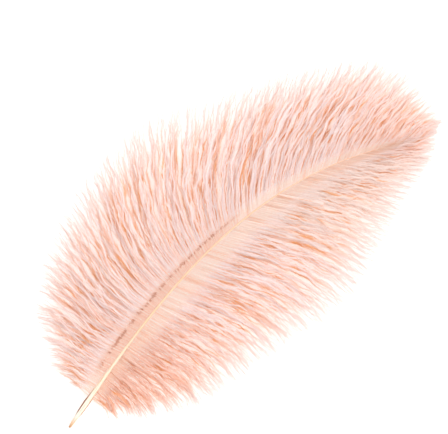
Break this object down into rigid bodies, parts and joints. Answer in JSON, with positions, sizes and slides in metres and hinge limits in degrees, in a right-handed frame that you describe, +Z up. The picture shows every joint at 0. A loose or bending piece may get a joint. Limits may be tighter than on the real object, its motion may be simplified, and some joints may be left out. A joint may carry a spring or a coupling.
{
  "type": "ostrich feather",
  "caption": "Curved soft plume: a thin bowed shaft with a bare quill, a wide vane of long drooping barbs on one side and a narrower one on the other.",
  "frame": {"origin": "on the surface that the feather lies on, under the middle of its bounding box", "axes": "+X along the feather from the quill to the tip, +Y towards the wide left vane, +Z up off the surface"},
  "size_m": [0.324, 0.1738, 0.0289],
  "materials": {
    "shaft_horn": "smooth cream keratin with a soft shine",
    "blush_barbs": "soft fluffy blush pink barbs, paler at their tips"
  },
  "bodies": {
    "root": {"shaft": "shaft_horn", "left_vane": "blush_barbs", "right_vane": "blush_barbs"}
  },
  "joints": []
}
